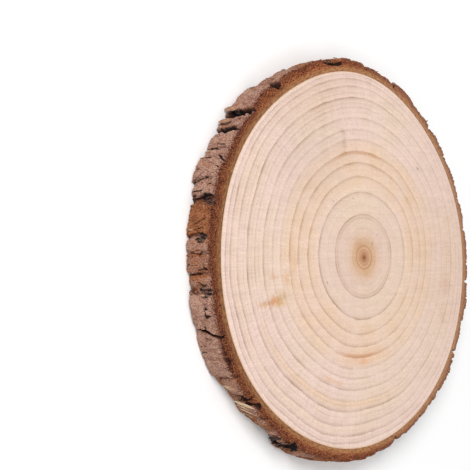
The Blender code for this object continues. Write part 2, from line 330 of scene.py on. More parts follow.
barkRing = {
    "columns": 1480,  # points round the rim
    "levels": 36,  # points through the thickness
    "crowding": 0.35,  # how much closer together those are near the sawn faces
    "cutSteps": 16,  # points across each sawn face
    "crease": 42,  # degrees, past which an edge stays sharp
    "thinnest": 1.3,  # the least bark that a furrow leaves
    "crown": 0.45,  # how far a plate's middle stands out past its edges
    "lean": 0.2,  # the most that a plate is thicker at one face
    "tilt": 0.4,  # and at one end
    "chip": 0.8,  # the most that is gone where a plate meets a sawn face
    "chipReach": 1.6,  # how far that reaches along the trunk
    "wander": 0.45,  # how far the furrows wave from side to side
    "waves": 0.8,  # how many waves there are through the thickness
    "floorEdge": 0.45,  # where a furrow's side begins, in half widths
    "shoulder": 1.1,  # and where it ends
    "growthSeed": 31,
    "cutSeeds": (20, 30),  # of the pits in the upper and the lower cut
    "undercut": (-0.55, 0.05),  # how far a furrow's bottom lies under the plate beside it, by depth
    "raggedness": 0.34,  # how far the furrows' sides stray from a clean line
    "scaleDrop": 0.3,  # the step at the edge of a scale that has come off
    "crackDepth": 0.55,  # of the fine cracks
    "fibre": 0.13,  # height of the fibres that run along the trunk
    "lump": 0.14,  # of the lumps on a plate
    "grit": 0.2,
    "sawChip": 0.5,  # what the saw broke off the bark's edge
    "sawPit": 0.3,  # what it pulled out of the cut
}
# Patterns in the bark: their grain round the rim and along the trunk, and a seed
barkPatterns = {
    "ragged": (1.9, 3.4, 1), "raggedFine": (0.75, 1.6, 2), "warp": (2.6, 3.2, 3),
    "fray": (0.6, 0.9, 18), "scales": (5.2, 9.5, 4), "scalesBelow": (3.1, 7.0, 5),
    "crackLine": (3.3, 13.0, 6), "broken": (4.5, 4.0, 7), "streaks": (0.7, 4.5, 15),
    "streaksWide": (1.6, 2.4, 16), "fibres": (0.62, 1.9, 10), "fibresFine": (0.4, 0.75, 11),
    "lumps": (2.2, 3.5, 12), "grit": (0.5, 0.5, 17), "crumbs": (1.3, 10.0, 13),
    "crumbsFine": (0.5, 10.0, 14),
}


def smoothStep(low, high, value):
    share = np.clip((value - low) / (high - low), 0.0, 1.0)
    return share * share * (3.0 - 2.0 * share)


def gradientNoise(across, along, cells, seed):
    # smooth noise from about -1 to 1, which repeats after this many cells round the rim
    cellX, cellY = np.floor(across).astype(np.int64), np.floor(along).astype(np.int64)
    x, y = across - cellX, along - cellY

    def corner(stepX, stepY):
        key = ((cellX + stepX) % cells) * 73856093 ^ (cellY + stepY) * 19349663 ^ seed * 83492791
        key = (key ^ (key >> 13)) * 1274126177 & 0xFFFFFFFF
        key = (key ^ (key >> 15)) * 2246822519 & 0xFFFFFFFF
        direction = (key ^ (key >> 16)) % 65536 * (2 * pi / 65536)
        return np.cos(direction) * (x - stepX) + np.sin(direction) * (y - stepY)

    shareX, shareY = x * x * (3 - 2 * x), y * y * (3 - 2 * y)
    near = corner(0, 0) * (1 - shareX) + corner(1, 0) * shareX
    far = corner(0, 1) * (1 - shareX) + corner(1, 1) * shareX
    return (near * (1 - shareY) + far * shareY) * 1.5


def rimNoise(angle, height, across, along, seed):  # across and along are the cell's size in mm
    cells = round(2 * pi * trunk["rimRadius"] / across)
    return gradientNoise(angle / (2 * pi) * cells, height / along, cells, seed)


def grownPlates():
    chance = random.Random(barkRing["growthSeed"])
    leaning = random.Random(barkRing["growthSeed"] + 1)
    plates = []
    for angle, turning, width, upperDepth, lowerDepth, upperBark, lowerBark, weathered in furrows:
        plates.append({
            "angle": radians(angle), "turn": radians(turning),
            "half": width / 2, "lowerBark": lowerBark, "moreBark": upperBark - lowerBark,
            "lowerFloor": lowerBark - lowerDepth, "upperFloor": upperBark - upperDepth,
            "weathered": weathered,
            "undercut": leaning.uniform(*barkRing["undercut"]),
            "phase": chance.uniform(0, 2 * pi),
            "lean": chance.uniform(-barkRing["lean"], barkRing["lean"]),
            "tilt": chance.uniform(-barkRing["tilt"], barkRing["tilt"]),
            "upperChip": barkRing["chip"] * chance.random() ** 2,
            "lowerChip": barkRing["chip"] * chance.random() ** 2,
        })
    return plates


def furrowAt(plate, level):
    wave = np.sin(2 * pi * barkRing["waves"] * level + plate["phase"])
    straight = plate["angle"] + plate["turn"] * (1.0 - level)
    return straight + barkRing["wander"] / trunk["rimRadius"] * wave


def plateBark(plates, angle, level):
    # thickness of the bark and of the whole plate there, which plate it is, and its undercut
    bark = np.full(np.broadcast(angle, level).shape, barkRing["thinnest"])
    whole, undercut = bark.copy(), bark.copy()
    owner = np.zeros(bark.shape, int)
    for index, plate in enumerate(plates):
        after = plates[(index + 1) % len(plates)]
        start = furrowAt(plate, level)
        length = (furrowAt(after, level) - start) % (2 * pi) * trunk["rimRadius"]
        arc = (angle - start) % (2 * pi) * trunk["rimRadius"]
        share = arc / length
        top = plate["lowerBark"] + plate["moreBark"] * level
        rise = top + plate["tilt"] * (share - 0.5) + plate["lean"] * (level - 0.5)
        rise = rise - barkRing["crown"] * (2.0 * share - 1.0) ** 2
        for chip, offFace in (("upperChip", 1.0 - level), ("lowerChip", level)):
            kept = smoothStep(0.0, barkRing["chipReach"], offFace * thickness)
            rise = rise - plate[chip] * (1.0 - kept)
        depth = rise
        top = top + barkRing["crown"]
        for furrow, distance in ((plate, arc), (after, length - arc)):
            side = smoothStep(barkRing["floorEdge"] * furrow["half"],
                              barkRing["shoulder"] * furrow["half"], distance)
            floor = furrow["lowerFloor"] + (furrow["upperFloor"] - furrow["lowerFloor"]) * level
            depth = np.minimum(depth, floor + (top - floor) * side)
        here = share < 1.0
        bark = np.where(here, np.maximum(depth, barkRing["thinnest"]), bark)
        whole = np.where(here, np.maximum(rise, depth), whole)
        owner = np.where(here, index, owner)
        half = smoothStep(0.4, 0.6, share)
        leaning = plate["undercut"] * (1.0 - half) + after["undercut"] * half
        undercut = np.where(here, leaning, undercut)
    return bark, whole, owner, undercut


def angleGap(angle, degrees):  # from -pi to pi
    return (angle - radians(degrees) + pi) % (2 * pi) - pi


def weatheredBark(plates, angle, level):
    # the grown bark with what weather, fibres and the saw do to it; all of it only takes away
    height = level * thickness

    def noise(name, turned=0.0, raised=0.0):  # one of the patterns, and how far it is warped
        return rimNoise(angle + turned, height + raised, *barkPatterns[name])

    ragged = noise("ragged") + 0.5 * noise("raggedFine")
    strayed = angle + ragged * barkRing["raggedness"] / trunk["rimRadius"]
    bark, whole, owner, undercut = plateBark(plates, strayed, level)
    warp, fray = 0.35 * noise("warp"), 0.09 * noise("fray")
    lost = 1.0 - smoothStep(-0.10, -0.04, noise("scales", warp / 60, 2.0 * warp) + fray)
    lostBelow = noise("scalesBelow", -warp / 70, -1.5 * warp) + fray
    lostBelow = 1.0 - smoothStep(-0.26, -0.21, lostBelow)
    worn = barkRing["scaleDrop"] * (lost + 0.7 * lostBelow)

    crackLine = np.abs(noise("crackLine", warp / 90))
    broken = smoothStep(0.05, 0.3, noise("broken"))
    cracks = barkRing["crackDepth"] * (1.0 - smoothStep(0.015, 0.06, crackLine)) * broken
    for startAngle, low, endAngle, high, width, depth in splits:
        share = np.clip((height - low) / (high - low), 0.0, 1.0)
        away = angleGap(angle, startAngle) - radians(endAngle - startAngle) * share
        away = away * trunk["rimRadius"] + 0.35 * ragged
        beyond = np.maximum(low - height, height - high)
        away = np.hypot(away, np.maximum(beyond, 0.0))
        taper = 0.35 + 0.65 * smoothStep(0.0, 1.2, -beyond)
        cracks = np.maximum(cracks, depth * (1.0 - smoothStep(0.2, 1.0, away / (width * taper))))

    # the torn hollows, and how strongly mould streaks and painted shadow are painted in them
    torn, rot = np.zeros(bark.shape), np.zeros(bark.shape)
    streaks = noise("streaks") + 0.5 * noise("streaksWide")
    for place, middleHeight, length, tall, depth, rotten in hollows:
        across = angleGap(angle, place) * trunk["rimRadius"] / (length / 2)
        away = np.hypot(across, (height - middleHeight) / (tall / 2)) + 0.35 * ragged
        dip = 1.0 - smoothStep(0.45, 1.05, away)
        dip = dip * np.clip(0.85 + 0.75 * streaks, 0.0, 1.3)
        torn = np.maximum(torn, depth * dip)
        rot = np.maximum(rot, rotten * dip)

    edge = np.minimum(height, thickness - height)
    crumbled = 0.85 + 0.5 * noise("crumbs") + 0.5 * noise("crumbsFine")
    crumbled = crumbled * (1.0 - smoothStep(0.0, 0.75, edge))
    worn = worn + np.maximum(cracks, torn)
    for name, amount in (
        ("fibre", 0.8 + 0.5 * noise("fibres") + 0.5 * noise("fibresFine")),
        ("lump", 0.5 + 0.5 * noise("lumps")), ("grit", 0.5 + 0.5 * noise("grit")),
        ("sawChip", crumbled),
    ):
        worn = worn + barkRing[name] * amount
    surface = np.maximum(bark - worn, 0.6 * barkRing["thinnest"])
    drift = undercut * (whole - surface) * smoothStep(0.0, 2.0, edge) / trunk["rimRadius"]
    marks = {"lostScales": lost + lostBelow, "crackDepth": cracks, "rotDepth": rot}
    return surface, whole, owner, drift, marks


def growBark(material):
    # One closed mesh: levels of points up the outside, in over the upper cut, down the cambium
    # and out under the lower cut.
    plates = grownPlates()
    weathered = np.array([plate["weathered"] for plate in plates])
    columns, levels, cutSteps = (barkRing[key] for key in ("columns", "levels", "cutSteps"))
    angle = np.linspace(0, 2 * pi, columns, endpoint=False)[:, None]
    even = np.linspace(0.0, 1.0, levels)[None, :]
    crowding = barkRing["crowding"]
    level = (1.0 - crowding) * even + crowding * (0.5 - 0.5 * np.cos(pi * even))
    surface, whole, owner, drift, marks = weatheredBark(plates, angle, level)
    cambium = woodDisc["edgeGap"]

    share = np.linspace(1.0, 0.0, cutSteps)[None, :]  # from the outside in

    def cutFace(outer, seed, holes=()):  # the bark there, and how far the cut lies below a clean one
        bark = cambium + (outer - cambium) * share
        pits = rimNoise(angle, bark, 0.8, 0.8, seed) + 0.6 * rimNoise(angle, bark, 1.7, 1.2, seed + 1)
        crumbly = smoothStep(1.4, 3.0, bark)
        dip = barkRing["sawPit"] * np.clip(pits + 0.15, 0.0, 1.2) * (0.15 + 0.85 * crumbly)
        dip = dip + 0.16 * smoothStep(0.75, 1.0, share) * (0.6 + 0.4 * pits)
        dip = np.clip(dip, 0.0, 0.5)
        for place, out, length, width, slant, depth in holes:
            along = angleGap(angle, place) * trunk["rimRadius"]
            across = (bark - out - slant * along + 0.25 * pits) / (width / 2)
            away = np.hypot(along / (length / 2), across)
            dip = np.maximum(dip, depth * (1.0 - smoothStep(0.7, 1.1, away)))
        return bark, dip

    upperSeed, lowerSeed = barkRing["cutSeeds"]
    upperBark, upperDip = cutFace(surface[:, -1:], upperSeed, cutHoles)
    lowerBark, lowerDip = cutFace(surface[:, :1], lowerSeed)
    heights = lowerDip[:, :1] + (thickness - lowerDip[:, :1] - upperDip[:, :1]) * level
    bark = np.hstack([surface, upperBark[:, 1:], lowerBark[:, :0:-1]])
    height = np.hstack([heights, thickness - upperDip[:, 1:], lowerDip[:, :0:-1]])
    loop = bark.shape[1]
    angle = angle + np.hstack([drift, np.zeros((columns, loop - levels))])
    radius = outlineRadius(angle) + bark
    points = np.stack([
        np.clip((radius * np.cos(angle) + middle[0]) * mm, barkLow.x, barkHigh.x),
        np.clip((radius * np.sin(angle) + middle[1]) * mm, barkLow.y, barkHigh.y),
        height * mm,
    ], axis=-1)
    index = np.arange(columns * loop).reshape(columns, loop)
    nextColumn, nextLevel = np.roll(index, -1, 0), np.roll(index, -1, 1)
    corner = np.roll(nextColumn, -1, 1)
    faces = np.stack([index, nextColumn, corner, nextLevel], axis=-1)
    sawn = np.zeros((columns, loop))
    sawn[:, levels - 1:levels + cutSteps - 2] = 1.0
    sawn[:, -cutSteps:] = 1.0

    def allRound(values, inward):  # a value of the outside, carried over both cut faces
        upper = np.repeat(values[:, -1:], cutSteps - 1, 1) * inward
        lower = np.repeat(values[:, :1], cutSteps - 1, 1) * inward
        return np.hstack([values, upper, lower])

    data = {
        "barkOut": bark, "fromRim": allRound(surface, 1.0) - bark,
        "holeDepth": np.hstack([np.zeros(surface.shape), upperDip[:, 1:], lowerDip[:, :0:-1]]),
        "furrowDepth": allRound(whole - surface, 0.0), "weathered": allRound(weathered[owner], 1.0),
        **{name: allRound(values, 0.0) for name, values in marks.items()}, "sawn": sawn,
    }
    mesh = bpy.data.meshes.new("barkRing")
    mesh.from_pydata(points.reshape(-1, 3).tolist(), [], faces.reshape(-1, 4).tolist())
    for label, values in data.items():
        layer = mesh.attributes.new(label, "FLOAT", "FACE" if label == "sawn" else "POINT")
        layer.data.foreach_set("value", values.astype(np.float32).ravel())
    mesh.materials.append(material)
    mesh.shade_smooth()
    mesh.set_sharp_from_angle(angle=radians(barkRing["crease"]))
    return newObject("barkRing", mesh)


# Stains on the sawn face, and last three broad patches of painted shade: middle, half its length
# and width, turn in degrees, strength, colour
stains = (
    ((-45.4, -13.6), 6.4, 1.9, 6, 0.75, "#c79a72"), ((-41.4, -12.8), 4.6, 3.0, 0, 0.75, "#c78a55"),
    ((-38.6, -12.6), 3.0, 4.2, 0, 0.60, "#c69f58"), ((-41.9, -4.8), 2.8, 2.2, 0, 0.40, "#c8935c"),
    ((-35.4, -5.6), 2.6, 4.0, 0, 0.40, "#d09658"), ((-31.5, -1.0), 2.2, 4.4, 0, 0.22, "#d39d63"),
    ((53.0, -10.0), 5.0, 8.0, 0, 0.26, "#c08668"), ((51.0, -21.0), 4.0, 6.0, 0, 0.20, "#c98f6a"),
    ((55.0, 2.0), 4.0, 7.0, 0, 0.18, "#cd9a70"), ((37.8, 33.4), 1.1, 1.3, 0, 0.60, "#a9705f"),
    ((-4.8, 44.6), 2.2, 1.4, 0, 0.60, "#a98660"), ((-4.0, 40.6), 1.8, 4.2, 0, 0.40, "#b08f76"),
    ((-4.3, 37.2), 2.2, 1.4, 0, 0.40, "#b5875c"), ((2.6, -35.8), 3.6, 2.2, 0, 0.30, "#cf8a50"),
    ((31.6, 21.7), 3.6, 3.6, 0, 0.22, "#cf9f63"), ((0.0, 21.4), 0.6, 0.4, 0, 0.8, "#8a6a55"),
    ((-10.9, 20.3), 0.6, 0.4, 0, 0.8, "#8a6a55"), ((-15.6, -7.6), 0.45, 0.7, 0, 0.8, "#8a6a55"),
    ((9.6, 5.6), 0.45, 1.8, -30, 0.65, "#8a6a55"), ((12.4, 8.6), 0.35, 1.1, -50, 0.5, "#8a6a55"),
    ((1.4, 5.0), 3.2, 4.6, 20, 0.30, "#bd8a63"), ((6.6, -5.4), 3.2, 2.6, 20, 0.30, "#c39462"),
    # the last three: broad patches of painted shade, darker over the top, the right and the upper left
    ((9.8, -0.6), 2.2, 5.0, 0, 0.18, "#c9a074"), ((-16.0, 57.0), 40.0, 14.0, 14, 0.32, "#d0af98"),
    ((54.0, -2.0), 34.0, 54.0, 0, 0.24, "#cba893"), ((-20.0, 36.0), 34.0, 24.0, 30, 0.26, "#c1aa9f"),
)
# Tints that follow a ring: radius and half the width, middle and half the spread in degrees,
# strength, colour
tints = (
    (36.4, 0.8, 262, 14, 0.44, "#c07a45"), (37.4, 2.4, 266, 16, 0.2, "#d69a66"),
    (36.5, 0.8, 93, 18, 0.42, "#c98d55"), (52.9, 1.3, 244, 36, 0.36, "#e0b98c"),
    (46.8, 0.8, 246, 6, 0.32, "#d79c62"), (35.2, 2.0, 186, 18, 0.14, "#d8a76f"),
    (60.2, 1.0, 205, 60, 0.22, "#e6cba6"),
)

endGrain = {
    "zones": (  # the paler wood of each year, from the pith out
        (0.0, "#8b5634"), (0.4, "#8b5634"), (1.2, "#b0815e"), (2.6, "#c89a77"), (3.4, "#d3a884"),
        (4.1, "#cb9f7c"), (5.2, "#cba684"), (7.2, "#d2b199"), (10.0, "#d8bcac"), (20.0, "#dbc1b1"),
        (25.0, "#e0c6b9"), (63.4, "#e0c6b9"), (64.5, "#e1c8bd"), (65.0, "#dfc3b3"), (65.4, "#cba68a"),
    ),
    "creamy": "#dec7ae",  # patches that are less pink
    "warm": "#e0c0a3",  # the yellower band half way out
    "lateWood": "#966f57",
    "lateWoodFrom": (1.3, 3.4),  # how many widths inside a ring its line and its shade begin
    "lateWoodShade": 0.22,  # the shade's part of the darkness
    "lateWoodStop": 0.4,  # how far past a ring the dark has gone
    "fades": (  # what is painted, what its strength follows, between what values, from and to what
        ("dark", "patches", 0.3, 0.7, 0.45, 1.55), ("dark", "east", -10.0, 45.0, 1.0, 0.55),
        ("creamy", "clouds", 0.4, 0.65, 0.0, 0.55), ("creamy", "ring", 5.0, 12.0, 0.0, 1.0),
        ("creamy", "ring", 57.0, 62.0, 1.0, 0.25), ("warm", "grown", 21.0, 27.0, 0.0, 1.0),
        ("warm", "grown", 38.0, 43.0, 1.0, 0.0), ("warm", "patches", 0.3, 0.7, 0.25, 0.85),
    ),
    "wander": (2.6, 0.5, -1.75),  # how far rings stray slowly and quickly, less their mean
    # how strongly each pattern lightens and darkens
    "patterns": (("rays", 0.05), ("sawMarks", 0.035), ("fine", 0.14), ("quick", 0.03)),
    "roughness": 0.6,
}


def newMaterial(name):  # a material, what adds nodes to it, and its shader
    material = bpy.data.materials.new(name)
    material.use_nodes = True
    return material, partial(addNode, material.node_tree), material.node_tree.nodes["Principled BSDF"]


def placeInMm(add):  # the piece's own place in millimetres, from the middle of the trunk
    return add("Mapping", {
        "Vector": add("TexCoord").outputs["Object"], "Scale": (1 / mm,) * 3,
        "Location": (-middle[0], -middle[1], 0.0),
    })


def levelOut(add, place):  # the level direction from the middle out to a place
    level = add("VectorMath", (place, (1.0, 1.0, 0.0)), "MULTIPLY")
    return add("VectorMath", [level], "NORMALIZE")


def paintEndGrain():
    # Fir end grain, sawn and belt sanded: matt and pale, with thin tan late-wood lines, faint
    # rays out from the pith and the ghost of straight saw marks.
    material, add, shader = newMaterial("sandedFirEndGrain")
    centred = placeInMm(add)
    ring = add("Attribute", attribute_name="ringRadius").outputs["Fac"]
    source = {
        name: add("TexNoise", {"Vector": centred, "Scale": 1 / grain, "Detail": detail})
        for name, grain, detail in (
            ("slow", 30.0, 1.0), ("quick", 3.2, 2.0), ("patches", 9.0, 3.0), ("clouds", 18.0, 3.0),
            ("fine", 0.4, 2.0), ("smudges", 1.5, 3.0),
        )
    }
    # the rings wander a little from their smooth path, not at the pith
    slowly, quickly, mean = endGrain["wander"]
    wander = add("Math", (source["slow"], slowly, mean), "MULTIPLY_ADD")
    wander = add("Math", (source["quick"], quickly, wander), "MULTIPLY_ADD")
    settled = add("MapRange", (ring, 3.0, 20.0, 0.0, 1.0))
    grown = add("Math", (wander, settled, ring), "MULTIPLY_ADD")
    east = add("SeparateXYZ", [centred]).outputs["X"]
    source.update(ring=ring, grown=grown, east=east)

    # late wood: a soft shade towards the end of each year, a dark line, then a sharp stop
    mask = {"dark": 0.0, "creamy": 1.0, "warm": 1.0}
    lineFrom, shadeFrom = endGrain["lateWoodFrom"]
    soft, stop = endGrain["lateWoodShade"], endGrain["lateWoodStop"]
    for radius, width, strength in rings:
        core = add("MapRange", (grown, radius - lineFrom * width, radius, 0.0, 1.0))
        core = add("Math", (core, core), "MULTIPLY")
        rise = add("MapRange", (grown, radius - shadeFrom * width, radius, 0.0, soft))
        rise = add("Math", (core, 1.0 - soft, rise), "MULTIPLY_ADD")
        fall = add("MapRange", (grown, radius, radius + stop, strength, 0.0), **smooth)
        line = add("Math", (rise, fall), "MULTIPLY")
        mask["dark"] = add("Math", (line, mask["dark"]), "MAXIMUM")
    for name, by, low, high, bottom, top in endGrain["fades"]:
        easing = smooth if by == "grown" else {}  # the warm band comes and goes softly
        part = add("MapRange", (source[by], low, high, bottom, top), **easing)
        mask[name] = add("Math", (mask[name], part), "MULTIPLY")

    # the paler wood between the lines
    zones = add("ValToRGB", [add("Math", (ring, trunk["woodRadius"]), "DIVIDE")])
    stops = zones.color_ramp.elements
    for count, (radius, tone) in enumerate(endGrain["zones"]):
        element = stops[count] if count < 2 else stops.new(1.0)
        element.position = radius / trunk["woodRadius"]
        element.color = linear(tone)
    colour = zones.outputs["Color"]
    for name in ("creamy", "warm"):
        colour = add("Mix", (mask[name], colour, linear(endGrain[name])), data_type="RGBA")

    # tints along a ring, then stains with ragged edges, and broad patches of painted shade
    fromPith = add("VectorMath", (centred, (*trunk["pith"], 0.0)), "SUBTRACT")
    outwards = levelOut(add, fromPith)
    for radius, width, turning, spread, strength, tone in tints:
        along = (cos(radians(turning)), sin(radians(turning)), 0.0)
        facing = add("VectorMath", (outwards, along), "DOT_PRODUCT").outputs["Value"]
        near = add("MapRange", (facing, cos(radians(1.5 * spread)), 1.0, 0.0, strength), **smooth)
        away = add("Math", [add("Math", (grown, radius), "SUBTRACT")], "ABSOLUTE")
        share = add("MapRange", (away, 0.3 * width, 1.3 * width, 1.0, 0.0), **smooth)
        share = add("Math", (share, near), "MULTIPLY")
        colour = add("Mix", (share, colour, linear(tone)), data_type="RGBA")
    ragged = add("VectorMath", (source["smudges"].outputs["Color"], (0.5, 0.5, 0.5)), "SUBTRACT")
    for (x, y), length, width, turning, strength, tone in stains:
        fray = add("VectorMath", {0: ragged, "Scale": 2.2 * min(length, width) ** 0.6}, "SCALE")
        local = add("VectorMath", (centred, fray), "ADD")
        local = add("VectorMath", (local, (x, y, 0.0)), "SUBTRACT")
        local = add("Mapping", {"Vector": local, "Rotation": (0.0, 0.0, -radians(turning))})
        local = add("VectorMath", (local, (1 / length, 1 / width, 0.0)), "MULTIPLY")
        distance = add("VectorMath", [local], "LENGTH").outputs["Value"]
        share = add("MapRange", (distance, 0.0, 1.0, strength, 0.0), **smooth)
        colour = add("Mix", (share, colour, linear(tone)), data_type="RGBA")
    lined = add("Mix", (mask["dark"], colour, linear(endGrain["lateWood"])), data_type="RGBA")

    # rays: fine streaks out from the pith, about 0.6 mm apart at the rim
    around = add("VectorMath", {0: outwards, "Scale": 110.0}, "SCALE")
    along = add("CombineXYZ", {"Z": add("Math", (ring, 0.2), "MULTIPLY")})
    rayPlace = add("VectorMath", (around, along), "ADD")
    # saw marks: straight, about 1.5 mm apart, nearly sanded out
    sawTurn = (0.0, 0.0, radians(4))
    sawPlace = add("Mapping", {"Vector": centred, "Rotation": sawTurn, "Scale": (0.04, 1.0, 0.1)})
    for name, place in (("rays", rayPlace), ("sawMarks", sawPlace)):
        source[name] = add("TexNoise", {"Vector": place, "Scale": 1.0, "Detail": 2.0})
    shade = 1.0
    for name, depth in endGrain["patterns"]:
        part = add("MapRange", (source[name], 0.3, 0.7, 1.0 - depth, 1.0 + depth))
        shade = add("Math", (shade, part), "MULTIPLY")
    shaded = add("VectorMath", {0: lined, "Scale": shade}, "SCALE")

    relief = source["rays"]
    for raised, amount in ((mask["dark"], 0.5), (source["sawMarks"], 0.7), (source["fine"], 0.6)):
        relief = add("Math", (raised, amount, relief), "MULTIPLY_ADD")
    bump = add("Bump", {"Strength": 0.5, "Distance": 0.06 * mm, "Height": relief})
    gloss = add("MapRange", (mask["dark"], 0.0, 1.0, endGrain["roughness"], 0.5))
    add(shader, {"Base Color": shaded, "Roughness": gloss, "Normal": bump, "IOR": 1.45,
                 "Specular IOR Level": 0.3})
    return material


barkColours = {
    "innerBark": "#7a4c30",  # the tan living layer against the wood
    "innerBarkLight": "#a3774e",
    "cork": "#7f4529",  # reddish brown outer bark where it is sawn
    "corkLight": "#ab6a40",
    "corkDark": "#441f12",
    "corkEdge": "#4b1f15",  # the darker red of its outermost layers, also along the outside's top edge, partly as painted shade
    "weathered": "#b48e7b",  # pinkish grey plates
    "weatheredDark": "#835c4e",
    "fresh": "#a06741",  # reddish cork, where scales came off
    "freshDark": "#693823",
    # the dark of the pores, and painted shade in the furrows
    "furrow": "#4f2a1d",
    # painted shade: the black of deep furrows, cracks, holes and the darkest hollows
    "deep": "#130a08",
    "mould": "#77706d",  # blue-grey streaks in the torn hollows
    "paleCut": "#bd9d84",  # the paler colour of the cut bark towards +X
    "dryFrom": (-62.0, -12.0, 0.82, 1.22),  # the cut bark's brightness from painted shade and light, from one side on
    "paleFrom": (0.0, 60.0, 0.0, 0.25),
    "roughness": 0.9,
}


def paintBark():
    # Dry fir bark: outside, weathered pinkish grey plates over reddish cork that shows where scales
    # fell off, with painted shade darkening the furrows, cracks, holes and hollows; on the cuts, tan
    # inner bark, then layered cork speckled orange and black by the saw.
    material, add, shader = newMaterial("dryFirBark")
    centred = placeInMm(add)
    spot = add("SeparateXYZ", [centred]).outputs
    source = {"height": spot["Z"]}
    for name in ("barkOut", "fromRim", "furrowDepth", "crackDepth", "rotDepth", "holeDepth",
                 "lostScales", "weathered", "sawn"):
        source[name] = add("Attribute", attribute_name=name).outputs["Fac"]
    # one place drawn out along the trunk, for fibres, and one squeezed outwards, for layers
    around = add("VectorMath", {0: levelOut(add, centred), "Scale": trunk["rimRadius"]}, "SCALE")
    place = {}
    for name, across, squeeze in (("fibres", "height", 0.6), ("layers", "barkOut", 3.6)):
        along = add("CombineXYZ", {"Z": add("Math", (source[across], squeeze), "MULTIPLY")})
        place[name] = add("VectorMath", (around, along), "ADD")
    for name, grain, detail in (
        ("fibres", 0.5, 3.0), ("layers", 1.6, 3.0), ("blotches", 3.4, 4.0), ("grit", 0.37, 1.0),
        ("fleck", 0.32, 1.0),
    ):
        source[name] = add("TexNoise", {
            "Vector": place.get(name, centred), "Scale": 1 / grain, "Detail": detail, "Roughness": 0.65,
        })
    # patterns on top of patterns: the new one, what it starts from, what is added, how much of it
    for name, start, added, amount in (
        ("bare", "blotches", "weathered", -1.0), ("bare", "bare", "lostScales", 0.2),
        ("mottle", "grit", "blotches", 0.6), ("mottle", "mottle", "fibres", 0.6),
        ("speckle", "grit", "layers", 0.5), ("border", "barkOut", "blotches", 1.6),
        ("border", "border", "grit", 2.4), ("relief", "mottle", "fleck", 0.5),
    ):
        source[name] = add("Math", (source[added], amount, source[start]), "MULTIPLY_ADD")
    # masks: what each follows, between which values, and its strength at the one and the other
    mask = {
        name: add("MapRange", (source[by], low, high, bottom, top), **smooth)
        for name, by, low, high, bottom, top in (
            ("bare", "bare", -0.25, 0.2, 0.0, 1.0), ("mottle", "mottle", 0.96, 1.24, 0.0, 1.0),
            # painted shade: the furrows and cracks are painted darker by their depth, to black where
            # deepest
            ("pores", "fleck", 0.58, 0.66, 0.0, 0.6), ("furrow", "furrowDepth", 0.7, 1.7, 0.0, 1.0),
            ("deep", "furrowDepth", 1.4, 2.6, 0.0, 0.95), ("crack", "crackDepth", 0.12, 0.5, 0.0, 0.9),
            # the hollows' mould streaks and painted shadow, solid black painted shadow where it is
            # strongest
            ("rot", "rotDepth", 0.15, 0.7, 0.0, 1.0), ("solid", "rotDepth", 1.1, 1.7, 0.0, 0.95),
            ("dim", "fibres", 0.44, 0.58, 1.0, 0.25), ("streak", "fibres", 0.52, 0.62, 0.0, 0.55),
            ("corkBody", "speckle", 0.65, 0.73, 0.0, 1.0),
            ("corkBright", "speckle", 0.77, 0.85, 0.0, 0.95),
            ("outermost", "fromRim", 0.2, 3.0, 0.85, 0.0), ("dirt", "grit", 0.4, 0.62, 1.0, 0.35),
            # hole: painted shade in the holes of the upper cut, darker with their depth
            ("hole", "holeDepth", 0.45, 1.1, 0.0, 0.95), ("tan", "layers", 0.35, 0.65, 0.0, 1.0),
            ("border", "border", 2.6, 4.3, 0.0, 1.0),
            ("brink", "height", thickness - 1.4, thickness - 0.1, 0.0, 1.0),
        )
    }
    for name, first, second, operation in (
        # black: the painted shade of deep furrows and cracks, and of the darkest hollows
        ("black", "deep", "crack", "MAXIMUM"), ("black", "black", "solid", "MAXIMUM"),
        ("rotten", "rot", "dim", "MULTIPLY"), ("mouldy", "rot", "streak", "MULTIPLY"),
        ("dirty", "outermost", "dirt", "MULTIPLY"), ("crumbled", "brink", "dirt", "MULTIPLY"),
    ):
        mask[name] = add("Math", (mask[first], mask[second]), operation)
    # layers of paint, each over the ones before: mask, then what is below it and what above
    tone = {name: linear(value) for name, value in barkColours.items() if isinstance(value, str)}
    for name, share, below, above in (
        ("grey", "mottle", "weatheredDark", "weathered"), ("red", "mottle", "freshDark", "fresh"),
        ("outside", "bare", "grey", "red"), ("outside", "pores", "outside", "furrow"),
        # darker red along the top edge of the outside: crumbled cork, and painted shade under the
        # broken edge
        ("outside", "crumbled", "outside", "corkEdge"),
        # painted shade in the furrows, darker with their depth
        ("outside", "furrow", "outside", "furrow"), ("outside", "mouldy", "outside", "mould"),
        # painted shadow in the hollows, then the black painted shade of deep furrows, cracks and
        # hollows
        ("outside", "rotten", "outside", "deep"), ("outside", "black", "outside", "deep"),
        ("cork", "corkBody", "corkDark", "cork"), ("cork", "corkBright", "cork", "corkLight"),
        ("cork", "dirty", "cork", "corkEdge"), ("tan", "tan", "innerBark", "innerBarkLight"),
        # the holes in the cut are painted black: painted shade
        ("cut", "border", "tan", "cork"), ("cut", "hole", "cut", "deep"),
    ):
        tone[name] = add("Mix", (mask[share], tone[below], tone[above]), data_type="RGBA")
    # the cut bark is painted darker on the -X side and brighter further round, as painted shade and
    # light, and is paler towards +X
    dry = add("MapRange", (spot["X"], *barkColours["dryFrom"]))
    pale = add("MapRange", (spot["X"], *barkColours["paleFrom"]))
    cut = add("VectorMath", {0: tone["cut"], "Scale": dry}, "SCALE")
    cut = add("Mix", (pale, cut, linear(barkColours["paleCut"])), data_type="RGBA")
    colour = add("Mix", (source["sawn"], tone["outside"], cut), data_type="RGBA")
    bump = add("Bump", {"Strength": 0.9, "Distance": 0.25 * mm, "Height": source["relief"]})
    add(shader, {"Base Color": colour, "Normal": bump, "Roughness": barkColours["roughness"],
                 "Specular IOR Level": 0.2})
    return material


